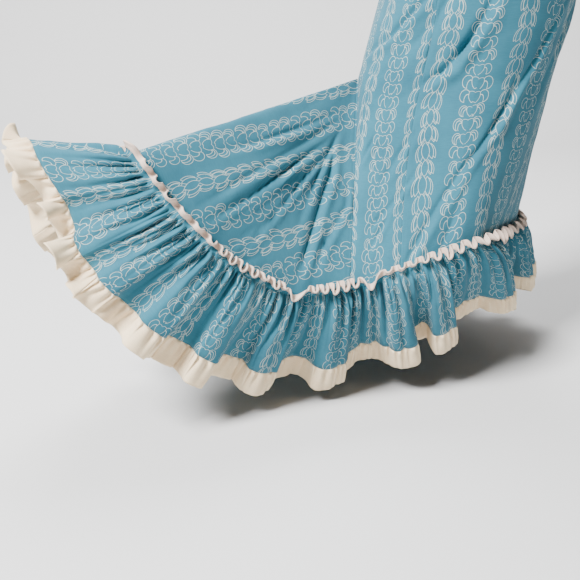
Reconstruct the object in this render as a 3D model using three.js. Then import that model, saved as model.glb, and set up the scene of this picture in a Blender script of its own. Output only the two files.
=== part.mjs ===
// A long fitted holomuu dress with a train, as it hangs hollow on its wearer with the train drawn out behind.
// A front, two backs and two side panels run from the shoulders to the flounce seam. A fan-shaped gore at the
// centre back makes the train. A gathered flounce with a bound heading and a cream frill runs round the hem.
//
// Frame: millimetres, +Z up, -Y the dress's front, -X the wearer's right. The origin is the middle of the
// shoulder line, where the dress is held up.
import * as THREE from "three";

// ---- Driving dimensions ----
const CLOTH = 1.5; // wall of one layer of cloth
const SEAM = 0.15; // each panel stops this far short of its seam line
const JOIN = 0.4; // and each length of the gathered bands, which turn more sharply
const BAND_GAP = 0.9; // between the flounce and its binding or frill
const CLEAR = 1.2; // the flounce clears the skirt it is stitched over

const ARMPIT_Z = -210; // where the armholes start
const KNEE_Z = -950; // where the gore is let in
const SHOULDER_X = 190; // half the shoulder line
const NECK_X = 80; // half the neckline
const NECK_DROP = { front: 100, back: 32 };
const SHOULDER_SLOPE = 0.36;
const ARMHOLE_SCOOP = 25; // how far an armhole is cut in from the straight line
const ARMHOLE_HALF = 56; // half its width, seen from the side

const FLOUNCE_DEPTH = 134; // stitch line to the blue cloth's lower edge
const HEADING_DEPTH = 10; // cloth that stands above the stitch line
const BINDING_DEPTH = 6.5; // cream binding above that
const BINDING_WALL = 2.5; // folded over the edge, so it is thicker
const BINDING_LIFT = 0.5;
const FRILL_DEPTH = 42; // cream frill below the flounce
const HEADING_WAVES = 66;
const HEADING_LEAN = 1.1; // radians that the heading's crests lean out
const FRILL_WAVES = 66;
const FRILL_SWING = 6;
const COLUMNS_PER_WAVE = 4;
const LENGTHS = 4; // lengths of cloth that make the flounce, its binding and its frill

const GORE_TURN = 0.6; // the gore's share of the way round, beside 1 for the body
const ROUND = 1 + GORE_TURN;
const GORE_START = 0.035; // the gore's cut tip, as a share of its length
const GORE_COLUMNS = 34;
const SIDE_COLUMNS = 12;

// The body's level rings: half width, half depth to the back and front and the ring's middle. pull draws the
// centre back sideways, and point makes the back rounder (1) or drawn to a point (above 1).
const BODY = [
  { z: -210, side: 165, back: 106, front: 118, y: 0, pull: 0, point: 1 },
  { z: -275, side: 173, back: 104, front: 134, y: 0, pull: 0, point: 1 },
  { z: -345, side: 161, back: 98, front: 114, y: 0, pull: 0, point: 1 },
  { z: -420, side: 146, back: 92, front: 101, y: 0, pull: 0, point: 1 },
  { z: -520, side: 172, back: 119, front: 106, y: 1, pull: 0, point: 1 },
  { z: -640, side: 195, back: 142, front: 120, y: 6, pull: 0, point: 1 },
  { z: -720, side: 192, back: 148, front: 132, y: 22, pull: -8, point: 1.05 },
  { z: -832, side: 180, back: 160, front: 147, y: 42, pull: -32, point: 1.25 },
  { z: -950, side: 170, back: 164, front: 152, y: 70, pull: -60, point: 1.6 },
];

// The princess seams, as a share of a turn from the centre back, on the wearer's right. The left mirrors them.
const PRINCESS = [
  { z: -40, back: 0.126, front: 0.374 },
  { z: -210, back: 0.092, front: 0.41 },
  { z: -345, back: 0.09, front: 0.424 },
  { z: -640, back: 0.122, front: 0.43 },
  { z: -845, back: 0.144, front: 0.426 },
  { z: -950, back: 0.142, front: 0.424 },
];

// The stitch line of the flounce, all the way round: turn is the place on the cloth (0 centre back on the
// wearer's right, 0.5 centre front, 1 centre back on the left, then the gore to 1.6), x, y, z the point, and
// lx, ly, lz the way the flounce hangs there. fold is the swing of its large folds at the lower edge, and puff
// how far it stands out below its gathers.
const STITCH = [
  { turn: 0, x: -250, y: 254, z: -1240, lx: 0.44, ly: 0.02, lz: -0.9, fold: 17, puff: 22 },
  { turn: 0.14, x: -245, y: 181, z: -1220, lx: 0.5, ly: -0.15, lz: -0.85, fold: 18, puff: 24 },
  { turn: 0.2, x: -228, y: 119, z: -1199, lx: 0.52, ly: -0.13, lz: -0.85, fold: 18, puff: 24 },
  { turn: 0.31, x: -185, y: 48, z: -1186, lx: 0.6, ly: -0.19, lz: -0.78, fold: 18, puff: 24 },
  { turn: 0.47, x: 10, y: -55, z: -1199, lx: 0.58, ly: -0.2, lz: -0.79, fold: 18, puff: 18 },
  { turn: 0.58, x: 120, y: -45, z: -1198, lx: 0.3, ly: -0.1, lz: -0.95, fold: 20, puff: 20 },
  { turn: 0.7, x: 210, y: 10, z: -1200, lx: 0, ly: 0.05, lz: -0.99, fold: 22, puff: 22 },
  { turn: 0.82, x: 238, y: 120, z: -1212, lx: -0.05, ly: 0.05, lz: -0.99, fold: 22, puff: 22 },
  { turn: 0.91, x: 212, y: 205, z: -1230, lx: 0, ly: 0.06, lz: -0.99, fold: 22, puff: 22 },
  { turn: 1, x: 150, y: 285, z: -1250, lx: 0.05, ly: 0.14, lz: -0.98, fold: 21, puff: 20 },
  { turn: 1.1, x: 80, y: 350, z: -1250, lx: 0.06, ly: 0.3, lz: -0.95, fold: 19, puff: 20 },
  { turn: 1.2, x: -15, y: 425, z: -1222, lx: 0, ly: 0.42, lz: -0.91, fold: 16, puff: 16 },
  { turn: 1.28, x: -125, y: 505, z: -1172, lx: -0.03, ly: 0.6, lz: -0.8, fold: 12, puff: 12 },
  { turn: 1.34, x: -230, y: 552, z: -1092, lx: -0.08, ly: 0.82, lz: -0.57, fold: 8, puff: 8 },
  { turn: 1.39, x: -325, y: 557, z: -1031, lx: 0.1, ly: 0.98, lz: 0.12, fold: 5, puff: 5 },
  { turn: 1.43, x: -340, y: 515, z: -1085, lx: -0.02, ly: 0.93, lz: -0.36, fold: 6, puff: 6 },
  { turn: 1.47, x: -340, y: 475, z: -1132, lx: -0.16, ly: 0.85, lz: -0.5, fold: 8, puff: 8 },
  { turn: 1.51, x: -322, y: 424, z: -1184, lx: -0.08, ly: 0.61, lz: -0.79, fold: 13, puff: 12 },
  { turn: 1.555, x: -287, y: 342, z: -1237, lx: 0.28, ly: 0.38, lz: -0.88, fold: 15, puff: 17 },
];

// The crests of the flounce's large folds, as shares of the stitch line's length from turn 0.
const CRESTS = [
  0.035, 0.061, 0.122, 0.19, 0.238, 0.289, 0.332, 0.384, 0.43, 0.482, 0.527, 0.578, 0.622, 0.674, 0.718, 0.766,
  0.814, 0.84, 0.8625, 0.887, 0.918, 0.952, 0.987,
];

// ---- Small tools ----
const vec = (x, y, z) => new THREE.Vector3(x, y, z);
const mix = THREE.MathUtils.lerp;
const smooth = THREE.MathUtils.smoothstep;
const even = (n) => Array.from({ length: n + 1 }, (_, i) => i / n);

// The value of a table's column at a place on its key column, by a cubic through the rows. With a period, the
// table closes on itself.
function read(rows, key, column, at, period = 0) {
  const n = rows.length;
  const row = (i) => rows[period ? ((i % n) + n) % n : Math.min(Math.max(i, 0), n - 1)];
  const place = (i) => row(i)[key] + (period ? Math.floor(i / n) * period : 0);
  const rising = rows[n - 1][key] > rows[0][key];
  let i = 0;
  const last = period ? n - 1 : n - 2;
  while (i < last && (rising ? at > place(i + 1) : at < place(i + 1))) i++;
  const slope = (k) => {
    const run = place(k + 1) - place(k - 1);
    return run ? (row(k + 1)[column] - row(k - 1)[column]) / run : 0;
  };
  const width = place(i + 1) - place(i);
  const s = (at - place(i)) / width;
  const [a, b] = [row(i)[column], row(i + 1)[column]];
  const [ma, mb] = [slope(i) * width, slope(i + 1) * width];
  return (
    a * (1 + 2 * s) * (1 - s) ** 2 + ma * s * (1 - s) ** 2 + b * s * s * (3 - 2 * s) + mb * s * s * (s - 1)
  );
}

// The unit normal of a surface at (u, v), pointing out of the dress, by small steps to both sides.
function normalOf(surface, u, v, du, dv, low = -Infinity, high = Infinity) {
  const held = (w) => Math.min(Math.max(w, low), high);
  const across = surface(u + du, v).sub(surface(u - du, v));
  const along = surface(u, held(v + dv)).sub(surface(u, held(v - dv)));
  return along.cross(across).normalize();
}

// A closed wall of cloth from sheets, each a grid of outer points and the way out at each of them. Sheets that
// share a row or a column of points are one cloth.
function wall(sheets, thick) {
  const places = new Map();
  const outer = [];
  const ways = [];
  const idOf = (point, way) => {
    const key = point.toArray().map((c) => Math.round(c * 1e3)).join();
    if (!places.has(key)) {
      places.set(key, outer.length);
      outer.push(point);
      ways.push(way);
    }
    return places.get(key);
  };
  const quads = [];
  for (const { points, out } of sheets) {
    const ids = points.map((row, i) => row.map((p, j) => idOf(p, out[i][j])));
    for (let i = 0; i + 1 < ids.length; i++)
      for (let j = 0; j + 1 < ids[i].length; j++)
        quads.push([ids[i][j], ids[i + 1][j], ids[i + 1][j + 1], ids[i][j + 1]]);
  }
  const inner = outer.map((p, k) => p.clone().addScaledVector(ways[k], -thick));
  const inside = (k) => k + outer.length;
  const edges = (quad) => quad.map((a, k) => [a, quad[(k + 1) % 4]]);
  const walked = new Set(quads.flatMap(edges).map((edge) => edge.join()));
  const rims = quads.flatMap(edges).filter(([a, b]) => !walked.has([b, a].join()));
  const faces = [];
  const face = (a, b, c, d) => faces.push(a, b, c, a, c, d);
  for (const [a, b, c, d] of quads) {
    face(a, b, c, d);
    face(inside(a), inside(d), inside(c), inside(b));
  }
  for (const [a, b] of rims) face(b, a, inside(a), inside(b));
  const geometry = new THREE.BufferGeometry();
  const flat = [...outer, ...inner].flatMap((p) => p.toArray());
  geometry.setAttribute("position", new THREE.Float32BufferAttribute(flat, 3));
  geometry.setIndex(faces);
  geometry.computeVertexNormals();
  return geometry;
}

// Draws the ends of a grid's rows in, so that neighbouring panels stay apart, and its first row down if it ends
// in a seam.
function drawIn(points, by, top = false) {
  const step = (p, q) => p.addScaledVector(q.clone().sub(p).normalize(), by);
  for (const row of points) {
    step(row[0], row[1]);
    step(row.at(-1), row.at(-2));
  }
  if (top) points[0].forEach((p, j) => step(p, points[1][j]));
  return points;
}

// ---- The body's surface ----

// A point of the body at a turn from the centre back and a height, from the armpits to the knee.
function bodyPoint(turn, z) {
  const value = (column) => read(BODY, "z", column, z);
  const across = Math.sin(2 * Math.PI * turn);
  const along = Math.cos(2 * Math.PI * turn);
  const depth = along > 0 ? value("back") * along ** value("point") : value("front") * along;
  return vec(value("pull") * Math.max(0, along) ** 3 - value("side") * across, value("y") + depth, z);
}

// A point above the armpits, on the front or back sheet. side is the turn, as on the ring, and t runs from the
// armpit row to the neckline and shoulder.
const ridge = (x) => -Math.max(0, Math.abs(x) - NECK_X) * SHOULDER_SLOPE;
function topEdge(x, part) {
  const q = Math.min(1, Math.abs(x) / NECK_X);
  return q < 1 ? -NECK_DROP[part] * Math.sqrt(1 - q * q) : ridge(x);
}
function yokePoint(turn, t, part) {
  const a = 2 * Math.PI * turn;
  const edge = mix(BODY[0].side, SHOULDER_X, t) - ARMHOLE_SCOOP * Math.sin(Math.PI * t);
  const x = -edge * Math.sin(a);
  const z = mix(ARMPIT_Z, topEdge(-SHOULDER_X * Math.sin(a), part), t);
  const below = Math.max(0, (ridge(x) - z) / -ARMPIT_Z);
  const depth = BODY[0][part] * below ** 0.6;
  const edgeDepth = Math.min(ARMHOLE_HALF * Math.sin(Math.PI * t) ** 0.8, depth);
  const curve = Math.abs(Math.cos(a)) ** mix(1, 1.6, t);
  const y = edgeDepth + (depth - edgeDepth) * curve;
  return vec(x, part === "front" ? -y : y, z);
}

// A point of the flared skirt below the knee, from the knee ring (t 0) to the flounce's stitch line (t 1).
// Turns past 1 are the gore, which fans out from one point of the knee ring at the centre back.
const LEAN = { x: -0.02, y: 0.2 }; // the skirt is drawn back towards the train
function around(turn) {
  return ((turn % ROUND) + ROUND) % ROUND;
}
function stitchPoint(turn) {
  const at = around(turn);
  return vec(...["x", "y", "z"].map((c) => read(STITCH, "turn", c, at, ROUND)));
}
function skirtPoint(turn, t) {
  const at = around(turn);
  const top = bodyPoint(at > 1 ? 0 : at, KNEE_Z);
  const hem = stitchPoint(at);
  const fall = 0.45 * (top.z - hem.z);
  const falling = vec(top.x + LEAN.x * fall, top.y + LEAN.y * fall, top.z - fall);
  const fanned = top.clone().lerp(hem, 0.45);
  const fan = at > 1 ? 1 : 1 - smooth(Math.min(at, 1 - at), 0, 0.12);
  const middle = falling.lerp(fanned, fan);
  top.multiplyScalar((1 - t) ** 2);
  return top.addScaledVector(middle, 2 * t * (1 - t)).addScaledVector(hem, t * t);
}

const YOKE_ROWS = [1, 0.86, 0.66, 0.4, 0.18];
const BODY_ROWS = [-210, -245, -290, -340, -385, -420, -460, -520, -600, -690, -820];
const SKIRT_ROWS = [0, 0.14, 0.28, 0.43, 0.58, 0.73, 0.87, 1];
const seamTurn = (z, which) => read(PRINCESS, "z", which, Math.max(KNEE_Z, Math.min(z, PRINCESS[0].z)));

// A sheet's rows above the armpits, on the front or back, between two seams given as the turn at each height.
function yokeSheet(part, from, to, shares) {
  const surface = (u, v) => yokePoint(u, v, part);
  const points = [];
  const out = [];
  for (const t of YOKE_ROWS) {
    const z = mix(ARMPIT_Z, PRINCESS[0].z, t);
    const turns = shares.map((s) => mix(from(z), to(z), s));
    const onShoulder = (u) => t === 1 && Math.abs(surface(u, 1).x) > NECK_X - 1;
    const shoulderOut = (u) => vec(Math.sign(surface(u, 1).x) * SHOULDER_SLOPE, 0, 1).normalize();
    points.push(turns.map((u) => surface(u, t)));
    out.push(turns.map((u) => (onShoulder(u) ? shoulderOut(u) : normalOf(surface, u, t, 1e-3, -1e-3, 0, 1))));
  }
  return { points, out };
}

// A sheet's rows from the armpits to the flounce's stitch line.
function lowerSheet(from, to, shares) {
  const points = [];
  const out = [];
  const turnsAt = (z) => shares.map((s) => mix(from(z), to(z), s));
  for (const z of BODY_ROWS) {
    points.push(turnsAt(z).map((u) => bodyPoint(u, z)));
    out.push(turnsAt(z).map((u) => normalOf(bodyPoint, u, z, 1e-3, -0.5, KNEE_Z)));
  }
  for (const t of SKIRT_ROWS) {
    points.push(turnsAt(KNEE_Z).map((u) => skirtPoint(u, t)));
    out.push(turnsAt(KNEE_Z).map((u) => normalOf(skirtPoint, u, t, 1e-3, 1e-2, 0, 1)));
  }
  drawIn(points, SEAM);
  return { points, out };
}

// A panel that lies wholly on the front or wholly on the back.
function panel({ part, from, to, shares }) {
  const yoke = yokeSheet(part, from, to, shares);
  const lower = lowerSheet(from, to, shares);
  drawIn(yoke.points, SEAM, true);
  return wall([{ points: [...yoke.points, ...lower.points], out: [...yoke.out, ...lower.out] }], CLOTH);
}

// A side panel runs from the back princess seam round under the arm to the front one, and up to the shoulder on
// both sides of the armhole.
function sidePanel({ parts, seams, side }) {
  const half = even(SIDE_COLUMNS / 2);
  const lower = lowerSheet(...seams, even(SIDE_COLUMNS));
  const [armpit, armpitOut] = [lower.points[0], lower.out[0]];
  const under = () => side;
  const spans = [
    { part: parts[0], from: seams[0], to: under, first: 0 },
    { part: parts[1], from: under, to: seams[1], first: SIDE_COLUMNS / 2 },
  ];
  const yokes = spans.map(({ part, from, to, first }) => {
    const { points, out } = yokeSheet(part, from, to, half);
    drawIn(points, SEAM, true);
    const shared = [first, first + SIDE_COLUMNS / 2 + 1];
    return { points: [...points, armpit.slice(...shared)], out: [...out, armpitOut.slice(...shared)] };
  });
  return wall([...yokes, lower], CLOTH);
}

function gore() {
  const shares = even(GORE_COLUMNS).map((s) => 1 + GORE_TURN * s);
  const rows = SKIRT_ROWS.map((t) => mix(GORE_START, 1, t));
  const points = rows.map((t) => shares.map((u) => skirtPoint(u, t)));
  const out = rows.map((t) => shares.map((u) => normalOf(skirtPoint, u, t, 1e-3, 1e-2, 0, 1)));
  return wall([{ points: drawIn(points, SEAM), out }], CLOTH);
}

// ---- Sleeves ----

// A short set-in sleeve. round goes from the armpit up the back of the armhole and down its front.
const SLEEVE_HEM = { x: 267, z: -232, radius: 63, rise: [0.7, 0.71] };
const SLEEVE_CAP = 12; // how far the cap stands up
const SLEEVE_STEPS = 20;
const SLEEVE_ROWS = [0, 0.2, 0.5, 0.78, 1];

function armhole(round) {
  const at = ((round % 1) + 1) % 1;
  const part = at <= 0.5 ? "back" : "front";
  return yokePoint(0.25, at <= 0.5 ? 2 * at : 2 * (1 - at), part);
}
function sleevePoint(round, t) {
  const a = 2 * Math.PI * round;
  const { x, z, radius, rise } = SLEEVE_HEM;
  const up = -radius * Math.cos(a);
  const hem = vec(-x - up * rise[0], radius * Math.sin(a), z + up * rise[1]);
  const cap = SLEEVE_CAP * Math.sin(Math.PI * t) * Math.max(0, -Math.cos(a));
  return armhole(round).add(vec(-CLOTH, 0, 0)).lerp(hem, t).add(vec(-cap * 0.4, 0, cap));
}
function sleeve(mirror) {
  const point = (u, t) => (mirror ? sleevePoint(1 - u, t).multiply(vec(-1, 1, 1)) : sleevePoint(u, t));
  const points = SLEEVE_ROWS.map((t) => even(SLEEVE_STEPS).map((u) => point(u % 1, t)));
  const out = SLEEVE_ROWS.map((t) => even(SLEEVE_STEPS).map((u) => normalOf(point, u, t, 1e-2, 1e-2, 0, 1)));
  return wall([{ points, out }], CLOTH);
}

// ---- Flounce, binding and frill ----

// The stitch line's length up to each of many turns, so that gathers and folds are spaced along the cloth.
const STITCH_STEPS = 640;
const stitchRun = [0];
for (let i = 1; i <= STITCH_STEPS; i++) {
  const [last, here] = [i - 1, i].map((k) => stitchPoint((ROUND * k) / STITCH_STEPS));
  stitchRun.push(stitchRun[i - 1] + last.distanceTo(here));
}
function turnAt(share) {
  const run = share * stitchRun[STITCH_STEPS];
  const i = Math.max(1, stitchRun.findIndex((r) => r >= run));
  return (ROUND * (i - 1 + (run - stitchRun[i - 1]) / (stitchRun[i] - stitchRun[i - 1]))) / STITCH_STEPS;
}

const waveAt = (share, count, shift) => Math.sin(2 * Math.PI * count * share + shift);
// The large folds: 1 at a crest and -1 halfway to the next one, with flatter tops than a plain wave.
function foldAt(share) {
  const next = CRESTS.findIndex((crest) => crest > share);
  const to = next < 0 ? CRESTS[0] + 1 : CRESTS[next];
  const from = next > 0 ? CRESTS[next - 1] : CRESTS.at(-1) - (next < 0 ? 0 : 1);
  const wave = Math.cos((2 * Math.PI * (share - from)) / (to - from));
  return Math.tanh(1.4 * wave) / Math.tanh(1.4);
}

// A point of the flounce at a share of the stitch line's length and a distance down from it. Above the line is
// the heading, whose crests lean out, and below it the cloth stands out from its gathers and then falls.
function flouncePoint(along, down) {
  const share = ((along % 1) + 1) % 1;
  const at = turnAt(share);
  const value = (column) => read(STITCH, "turn", column, at, ROUND);
  const skirtOut = normalOf(skirtPoint, at, 1, 1e-3, 1e-2, 0, 1);
  const base = stitchPoint(at).addScaledVector(skirtOut, CLOTH + CLEAR);
  if (down <= 0) {
    const up = skirtPoint(at, 0.97).sub(skirtPoint(at, 1)).normalize();
    const lean = (HEADING_LEAN * (1 + waveAt(share, HEADING_WAVES, 0))) / 2;
    return base.addScaledVector(up, -down * Math.cos(lean)).addScaledVector(skirtOut, -down * Math.sin(lean));
  }
  const hang = vec(value("lx"), value("ly"), value("lz")).normalize();
  const ahead = stitchPoint(at + 1e-3).sub(stitchPoint(at - 1e-3));
  const sideways = hang.clone().cross(ahead).normalize();
  const puff = value("puff") * (1 - Math.exp(-down / 25));
  const deep = Math.min(1.2, down / FLOUNCE_DEPTH);
  const frill = Math.max(0, down - FLOUNCE_DEPTH) / FRILL_DEPTH;
  const fold = value("fold") * deep * foldAt(share);
  const ripple = FRILL_SWING * frill * waveAt(share, FRILL_WAVES, Math.PI / 4);
  return base.addScaledVector(hang, down - puff / 2).addScaledVector(sideways, puff + fold + ripple);
}

// One length of the flounce's cloth, through the given distances down.
function band(length, downs, thick, lift = 0) {
  const steps = (COLUMNS_PER_WAVE * HEADING_WAVES) / LENGTHS;
  const shares = even(steps).map((step) => (length + step) / LENGTHS);
  const low = downs.at(-1) > 0 && downs[0] > 0 ? 0.01 : -Infinity;
  const points = downs.map((d) => shares.map((u) => flouncePoint(u, d)));
  const out = downs.map((d) => shares.map((u) => normalOf(flouncePoint, u, d, 1.2e-3, 1, low)));
  points.forEach((row, i) => row.forEach((p, j) => p.addScaledVector(out[i][j], lift)));
  return wall([{ points: drawIn(points, JOIN), out }], thick);
}

// ---- Assembly ----

const cloth = new THREE.MeshStandardMaterial({ color: 0x4596ad, roughness: 0.85, metalness: 0 });
const cream = new THREE.MeshStandardMaterial({ color: 0xe9dfd2, roughness: 0.9, metalness: 0 });

const dress = new THREE.Group();
function add(name, geometry, material) {
  const mesh = new THREE.Mesh(geometry, material);
  mesh.name = name;
  dress.add(mesh);
}

// The centre panels have a column at the neck point, where the neckline meets the shoulder.
const NECK_TURN = Math.asin(NECK_X / SHOULDER_X) / (2 * Math.PI);
const NECK_COLUMNS = [0, 0.28, 0.56, 0.82, 1];
const backShares = [...NECK_COLUMNS.map((s) => (s * NECK_TURN) / PRINCESS[0].back), 1];
const frontShares = [...NECK_COLUMNS.map((s) => (s * NECK_TURN) / (0.5 - PRINCESS[0].front)), 1];
const bothWays = [...frontShares.slice(1).map((s) => -s).reverse(), ...frontShares].map((s) => (1 + s) / 2);
const turnedRound = (shares) => shares.map((s) => 1 - s).reverse();

const backSeam = (z) => seamTurn(z, "back");
const frontSeam = (z) => seamTurn(z, "front");
const onLeft = (seam) => (z) => 1 - seam(z);
const PANELS = [
  { name: "back_right", part: "back", from: () => 0, to: backSeam, shares: backShares },
  { name: "front_center", part: "front", from: frontSeam, to: onLeft(frontSeam), shares: bothWays },
  { name: "back_left", part: "back", from: onLeft(backSeam), to: () => 1, shares: turnedRound(backShares) },
];
for (const piece of PANELS) add(piece.name, panel(piece), cloth);
const SIDES = [
  { name: "side_right", parts: ["back", "front"], seams: [backSeam, frontSeam], side: 0.25 },
  { name: "side_left", parts: ["front", "back"], seams: [onLeft(frontSeam), onLeft(backSeam)], side: 0.75 },
];
for (const piece of SIDES) add(piece.name, sidePanel(piece), cloth);
add("train_gore", gore(), cloth);
add("sleeve_right", sleeve(false), cloth);
add("sleeve_left", sleeve(true), cloth);

const FLOUNCE_ROWS = [-HEADING_DEPTH, 0, 0.15 * FLOUNCE_DEPTH, 0.5 * FLOUNCE_DEPTH, FLOUNCE_DEPTH];
const BINDING_ROWS = [-HEADING_DEPTH - BINDING_DEPTH, -HEADING_DEPTH - BAND_GAP];
const FRILL_ROWS = [FLOUNCE_DEPTH + BAND_GAP, FLOUNCE_DEPTH + FRILL_DEPTH];
for (let i = 0; i < LENGTHS; i++) {
  add(`flounce_${i + 1}`, band(i, FLOUNCE_ROWS, CLOTH), cloth);
  add(`heading_binding_${i + 1}`, band(i, BINDING_ROWS, BINDING_WALL, BINDING_LIFT), cream);
  add(`hem_frill_${i + 1}`, band(i, FRILL_ROWS, CLOTH), cream);
}

export default dress;
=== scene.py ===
"""The looks of a long fitted holomuu dress: printed cotton panels, a train, a gathered flounce and a cream frill.

The tables and the shape functions are in millimetres, as in the part's source. A mesh is made in metres.
A turn is the place round the dress: 0 is the centre back on the wearer's right, 0.5 the centre front, 1 the
centre back on the left, and 1 to 1.6 goes round the train's gore.
"""

import math

import bmesh
import bpy
import numpy as np
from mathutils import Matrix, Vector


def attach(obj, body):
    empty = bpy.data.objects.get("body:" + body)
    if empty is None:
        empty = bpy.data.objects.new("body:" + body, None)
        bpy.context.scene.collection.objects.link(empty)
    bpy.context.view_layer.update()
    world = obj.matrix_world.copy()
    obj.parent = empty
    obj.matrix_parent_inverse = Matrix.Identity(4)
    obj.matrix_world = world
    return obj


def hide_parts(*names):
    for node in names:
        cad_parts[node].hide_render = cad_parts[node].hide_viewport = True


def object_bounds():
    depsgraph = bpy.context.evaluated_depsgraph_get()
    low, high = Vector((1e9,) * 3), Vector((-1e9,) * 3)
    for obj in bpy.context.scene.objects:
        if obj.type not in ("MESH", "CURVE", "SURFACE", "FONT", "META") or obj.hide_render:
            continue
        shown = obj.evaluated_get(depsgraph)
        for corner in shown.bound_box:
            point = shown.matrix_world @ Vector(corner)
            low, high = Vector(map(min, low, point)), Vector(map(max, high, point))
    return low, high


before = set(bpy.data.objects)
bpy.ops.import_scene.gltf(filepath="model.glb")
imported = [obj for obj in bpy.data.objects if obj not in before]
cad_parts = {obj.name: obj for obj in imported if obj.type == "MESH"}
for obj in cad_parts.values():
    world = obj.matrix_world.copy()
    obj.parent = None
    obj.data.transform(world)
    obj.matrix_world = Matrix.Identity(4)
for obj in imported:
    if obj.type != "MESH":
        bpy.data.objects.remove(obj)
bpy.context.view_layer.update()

MM = 0.001


def put(name, data):
    """A new object in the scene."""
    made = bpy.data.objects.new(name, data)
    bpy.context.collection.objects.link(made)
    return made


# ---- Camera ----
IMAGE_PX = 580
FOCAL_PX = 818  # focal length, in pixels of the image
CAMERA_PLACE = (-1.3931, 0.3423, -0.8687)
CAMERA_DOWN = math.radians(18)
SENSOR_MM = 36


def make_camera():
    data = bpy.data.cameras.new("camera")
    data.sensor_width = SENSOR_MM
    data.lens = SENSOR_MM * FOCAL_PX / IMAGE_PX
    data.clip_end = 50
    camera = put("camera", data)
    camera.location = CAMERA_PLACE
    camera.rotation_euler = (math.pi / 2 - CAMERA_DOWN, 0, -math.pi / 2)
    bpy.context.scene.camera = camera


# ---- Sizes of the dress ----
CLEAR = 2.7  # from the skirt's outside to the flounce that is stitched over it
KNEE_Z = -950
ARMPIT_Z = -210
SHOULDER_X = 190
NECK_X = 80
NECK_DROP = {"front": 100, "back": 32}
SHOULDER_SLOPE = 0.36
ARMHOLE_SCOOP = 25
ARMHOLE_HALF = 56
GORE_TURN = 0.6
ROUND = 1 + GORE_TURN
GORE_TIP = 0.008  # where the gore starts, as a share of its length
LEAN = (-0.02, 0.2)  # how far the cloth goes right and back as it falls below the knee
MIDWAY = 0.45  # where the curve from the knee to the stitch line has its middle
DRAWN = 0.12  # the skirt is drawn straight to the train this far from the gore, in turns
SKIRT_FALL = 290  # the usual length of that curve

FLOUNCE_DEPTH = 134
FRILL_DEPTH = 42
HEADING_DEPTH = 10
BINDING_DEPTH = 6.5
LENGTHS = 4


def table(names, *rows):
    """A table with named columns, a row for each section."""
    return dict(zip(names.split(), np.array(rows, float).T))


BODY = table(
    "z side back front y pull point",
    (-210, 165, 106, 118, 0, 0, 1),
    (-275, 173, 104, 134, 0, 0, 1),
    (-345, 161, 98, 114, 0, 0, 1),
    (-420, 146, 92, 101, 0, 0, 1),
    (-520, 172, 119, 106, 1, 0, 1),
    (-640, 195, 142, 120, 6, 0, 1),
    (-720, 192, 148, 132, 22, -8, 1.05),
    (-832, 180, 160, 147, 42, -32, 1.25),
    (-950, 170, 164, 152, 70, -60, 1.6),
)
PRINCESS = table(
    "z back front",
    (-40, 0.126, 0.374),
    (-210, 0.092, 0.41),
    (-345, 0.09, 0.424),
    (-640, 0.122, 0.43),
    (-845, 0.144, 0.426),
    (-950, 0.142, 0.424),
)
STITCH = table(
    "turn x y z lx ly lz fold puff",
    (0, -250, 254, -1240, 0.44, 0.02, -0.9, 17, 22),
    (0.14, -245, 181, -1220, 0.5, -0.15, -0.85, 18, 24),
    (0.2, -228, 119, -1199, 0.52, -0.13, -0.85, 18, 24),
    (0.31, -185, 48, -1186, 0.6, -0.19, -0.78, 18, 24),
    (0.47, 10, -55, -1199, 0.58, -0.2, -0.79, 18, 18),
    (0.58, 120, -45, -1198, 0.3, -0.1, -0.95, 20, 20),
    (0.7, 210, 10, -1200, 0, 0.05, -0.99, 22, 22),
    (0.82, 238, 120, -1212, -0.05, 0.05, -0.99, 22, 22),
    (0.91, 212, 205, -1230, 0, 0.06, -0.99, 22, 22),
    (1, 150, 285, -1250, 0.05, 0.14, -0.98, 21, 20),
    (1.1, 80, 350, -1250, 0.06, 0.3, -0.95, 19, 20),
    (1.2, -15, 425, -1222, 0, 0.42, -0.91, 16, 16),
    (1.28, -125, 505, -1172, -0.03, 0.6, -0.8, 12, 12),
    (1.34, -230, 552, -1092, -0.08, 0.82, -0.57, 8, 8),
    (1.39, -325, 557, -1031, 0.1, 0.98, 0.12, 5, 5),
    (1.43, -340, 515, -1085, -0.02, 0.93, -0.36, 6, 6),
    (1.47, -340, 475, -1132, -0.16, 0.85, -0.5, 8, 8),
    (1.51, -322, 424, -1184, -0.08, 0.61, -0.79, 13, 12),
    (1.555, -287, 342, -1237, 0.28, 0.38, -0.88, 15, 17),
)

# ---- Small tools for shapes ----
TAU = 2 * math.pi


def read(rows, key, column, at, period=0.0):
    """A table's column at places on its key column, by a cubic through the rows, as the part's source reads it."""
    places, values, at = rows[key], rows[column], np.asarray(at, float)
    if places[-1] < places[0]:
        places, at = -places, -at
    if period:
        places = np.concatenate([places[-2:] - period, places, places[:3] + period])
        values = np.concatenate([values[-2:], values, values[:3]])
        at = np.mod(at, period)
    else:
        places = np.concatenate([places[:1], places, places[-1:]])
        values = np.concatenate([values[:1], values, values[-1:]])
    slopes = (values[2:] - values[:-2]) / (places[2:] - places[:-2])
    inner, held = places[1:-1], values[1:-1]
    i = np.clip(np.searchsorted(inner, at, "right") - 1, 0, len(inner) - 2)
    width = inner[i + 1] - inner[i]
    s = (at - inner[i]) / width
    from_start = held[i] * (1 + 2 * s) * (1 - s) ** 2 + slopes[i] * width * s * (1 - s) ** 2
    return from_start + held[i + 1] * s * s * (3 - 2 * s) + slopes[i + 1] * width * s * s * (s - 1)


def mix(a, b, share):
    return a + (b - a) * share


def smooth(x, low, high):
    s = np.clip((x - low) / (high - low), 0, 1)
    return s * s * (3 - 2 * s)


def stack(x, y, z):
    return np.stack(np.broadcast_arrays(x, y, z), axis=-1).astype(float)


def unit(v):
    return v / np.maximum(np.linalg.norm(v, axis=-1, keepdims=True), 1e-9)


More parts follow.
